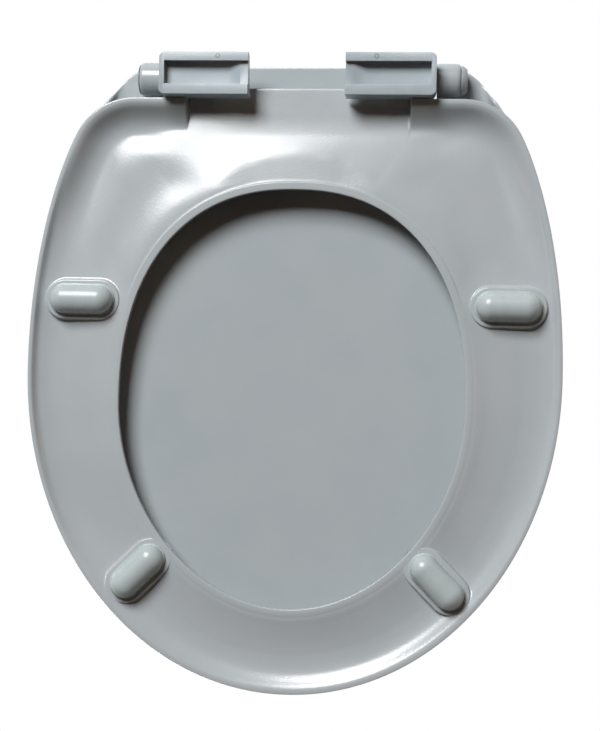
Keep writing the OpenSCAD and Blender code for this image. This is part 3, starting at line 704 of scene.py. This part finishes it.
# hinge pins, lid bumpers
def pin(word, sign, thick):
    """Pin through ear, knuckle and barrel, with a head that is a shallow cone. thick scales the head's
    thickness."""
    x, r = BARREL_OUT + 0.05, PIN_HEAD_R
    shaft = [[PIN_IN, 0.02], [PIN_IN, 3.2], [PIN_IN + 0.2, 3.8], [PIN_IN + 0.8, PIN_R], [64, PIN_R],
             [90, PIN_R], [x - 1, PIN_R]]
    cone = [[0, PIN_R], [0, PIN_R + 0.1], [0, r - 0.5], [0.1, r - 0.1], [0.5, r], [2.2, 9.5], [3.6, 8.4],
            [4.1, 7.6], [4.3, 6.2], [4.3, 3], [4.3, 0.02]]
    rows = shaft + [[x + thick * along, out] for along, out in cone]
    name = "hinge_pin_" + word
    shell = Shell().grid(turned(rows, 3, 72))
    shell.piece(name + "_moulding", "lid", [name], BLOCK_MAT, "hinge_plastic", sign)


def lid_stop(word, sign):
    """Soft stop under the lid: a round dome that ends just above the ring's top."""
    edge, way = front(np.array([45.0]))
    x, y = (edge - STOP_INSET * way)[0]
    r, z0, z1 = STOP_R, float(crown_z(y)) + 0.3, float(lid_face_z(y)) - 0.4
    dome = [[0.02, z0], [3, z0 + 0.02], [5, z0 + 0.35], [r - 0.7, z0 + 1.2], [r - 0.1, z0 + 2.4], [r, z0 + 4],
            [r, z1 - 0.6], [r - 0.2, z1], [0.02, z1]]
    a = np.radians(np.linspace(0, 360, 48, endpoint=False))[:, None]
    d = spline(np.array(dome)[None], 3, False)
    z = np.broadcast_to(d[..., 1], (len(a), d.shape[1]))
    g = np.stack([x + d[..., 0] * np.cos(a), y + d[..., 0] * np.sin(a), z], 2)
    name = "lid_bumper_" + word
    Shell().grid(g).piece(name + "_moulding", "lid", [name], BUMPER_MAT, "bumper_soft", sign)


# The photo shows no head on the left pin, so that one is thin
for word, sign, thick in (("left", 1, 0.3), ("right", -1, 1.0)):
    pin(word, sign, thick)
    lid_stop(word, sign)


# hinge blocks
def block(word):
    """The block keeps its CAD shape: a copy of the mesh is merged, its flat faces joined, and its edges
    rounded."""
    node = "hinge_block_" + word
    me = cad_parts[node].data.copy()
    bm = bmesh.new()
    bm.from_mesh(me)
    bmesh.ops.remove_doubles(bm, verts=bm.verts, dist=MERGE)
    bmesh.ops.dissolve_limit(bm, angle_limit=math.radians(0.8), verts=bm.verts, edges=bm.edges)
    bm.to_mesh(me)
    bm.free()
    me.materials.clear()
    me.shade_smooth()
    me.materials.append(BLOCK_MAT)
    o = bpy.data.objects.new(node + "_moulding", me)
    bpy.context.scene.collection.objects.link(o)
    bevel = o.modifiers.new("edges", "BEVEL")
    bevel.width, bevel.segments, bevel.limit_method = 0.0005, 3, "ANGLE"
    bevel.angle_limit, bevel.harden_normals = math.radians(35), True
    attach(o, "block_" + word)
    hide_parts(node)


block("left")
block("right")


# camera, light, floor

# The photo's camera, fitted to its outline: distance to the picture and the picture's height in pixels,
# then place in metres and turns in degrees. It stands under the seat, a little to its right, turned round
# its own view line.
VIEW_PX, HIGH_PX, SENSOR = 1463.4, 731, 36
EYE, TURNS = (-0.10304, -0.21959, -0.99122), ((-1.131, "X"), (185.505, "Y"), (1.323, "Z"))

camera = bpy.data.cameras.new("camera")
camera.lens, camera.sensor_width = VIEW_PX / HIGH_PX * SENSOR, SENSOR
camera.clip_start, camera.clip_end = 0.01, 50
cam = bpy.data.objects.new("camera", camera)
stand = Matrix.Translation(EYE)
for degrees, axis in TURNS:
    stand = stand @ Matrix.Rotation(math.radians(degrees), 4, axis)
cam.matrix_world = stand
bpy.context.scene.collection.objects.link(cam)
bpy.context.scene.camera = cam


def lamp(name, way, away, size, level, colour="#ffffff"):
    """Square soft lamp that shines on the seat's middle from the given direction. At level 1 a white
    surface that faces it renders white: power is pi squared times distance squared."""
    light = bpy.data.lights.new(name, "AREA")
    light.shape, light.size = "SQUARE", size
    light.energy = level * math.pi ** 2 * away ** 2
    light.color = linear(colour)[:3]
    o = bpy.data.objects.new(name, light)
    way = np.array(way, float) / np.linalg.norm(way)
    right = unit(np.cross([0.01, 1, 0.02], way))
    m = np.eye(4)
    m[:3, 0], m[:3, 1], m[:3, 2], m[:3, 3] = right, np.cross(way, right), way, SEAT_MIDDLE + away * way
    o.matrix_world = Matrix(m.tolist())
    bpy.context.scene.collection.objects.link(o)


# The softbox that makes the photo's long highlight, three weak warm lamps for its edge glints, and one for
# the top
SEAT_MIDDLE, WARM = np.array([0, -0.2, 0.015]), "#ffd9b4"
lamp("lamp_below", (0.322, 0.61, -0.745), 4.4, 1.92, 1.19)
lamp("lamp_corner", (-0.68, 0.60, -0.42), 2.4, 0.30, 0.027, WARM)
lamp("lamp_right", (-0.93, 0.22, -0.30), 2.4, 0.30, 0.027, WARM)
lamp("lamp_left", (0.93, -0.05, -0.35), 2.4, 0.30, 0.027, WARM)
lamp("lamp_above", (0.45, -0.55, 0.75), 2.4, 1.2, 0.62)

world = bpy.data.worlds.new("studio")
bpy.context.scene.world = world
world.use_nodes = True
wt = world.node_tree
wt.nodes.clear()
# Dark warm room below, pale room above. The camera sees white, and so do mirror rays that go up.
ray = add(wt, "ShaderNodeLightPath").outputs
way = add(wt, "ShaderNodeTexCoord").outputs["Generated"]
height = add(wt, "ShaderNodeSeparateXYZ", a_0=way).outputs["Z"]
room = blend(wt, ramp(wt, height, -0.15, 0.35, kind="SMOOTHSTEP"), linear("#3a2e25"), linear("#b0b0b0"))
mirrors = calc(wt, "MAXIMUM", ray["Is Glossy Ray"], ray["Is Transmission Ray"])
mirrors = calc(wt, "MULTIPLY", mirrors, calc(wt, "GREATER_THAN", height, 0.02))
white = calc(wt, "MAXIMUM", ray["Is Camera Ray"], mirrors)
sky = blend(wt, white, room, (1.0, 1.0, 1.0, 1.0))
glow = add(wt, "ShaderNodeBackground", Strength=1.0, Color=sky)
add(wt, "ShaderNodeOutputWorld", Surface=glow.outputs[0])

# Pale floor under the seat. Camera and far mirror rays see it from above. From below it is clear, it lets
# lamp light through, and it fades out round the seat.
fm, ft = new_material("painted_floor_pale")
ray = add(ft, "ShaderNodeLightPath").outputs
below = add(ft, "ShaderNodeNewGeometry").outputs["Backfacing"]
mirrors = calc(ft, "MAXIMUM", ray["Is Glossy Ray"], ray["Is Transmission Ray"])
mirrors = calc(ft, "MULTIPLY", mirrors, calc(ft, "GREATER_THAN", ray["Ray Length"], 0.06))
shows = calc(ft, "SUBTRACT", calc(ft, "MAXIMUM", ray["Is Camera Ray"], mirrors), below, use_clamp=True)
reach = distance(ft, add(ft, "ShaderNodeTexCoord").outputs["Object"], (0, -0.15, 0))
shows = calc(ft, "MULTIPLY", shows, ramp(ft, reach, 0.75, 1.7, 1.0, 0.0, "SMOOTHSTEP"))
paint = add(ft, "ShaderNodeBsdfDiffuse", Color=linear("#f4f4f2"))
clear = add(ft, "ShaderNodeBsdfTransparent")
both = add(ft, "ShaderNodeMixShader", a_0=shows, a_1=clear.outputs[0], a_2=paint.outputs[0])
add(ft, "ShaderNodeOutputMaterial", Surface=both.outputs[0])
fme = bpy.data.meshes.new("floor")
fme.from_pydata([(x, y, 0) for x, y in ((-8, -8), (8, -8), (8, 8), (-8, 8))], [], [(0, 1, 2, 3)])
fme.materials.append(fm)
floor = bpy.data.objects.new("floor", fme)
bpy.context.scene.collection.objects.link(floor)

bpy.context.scene.view_settings.view_transform = "Standard"
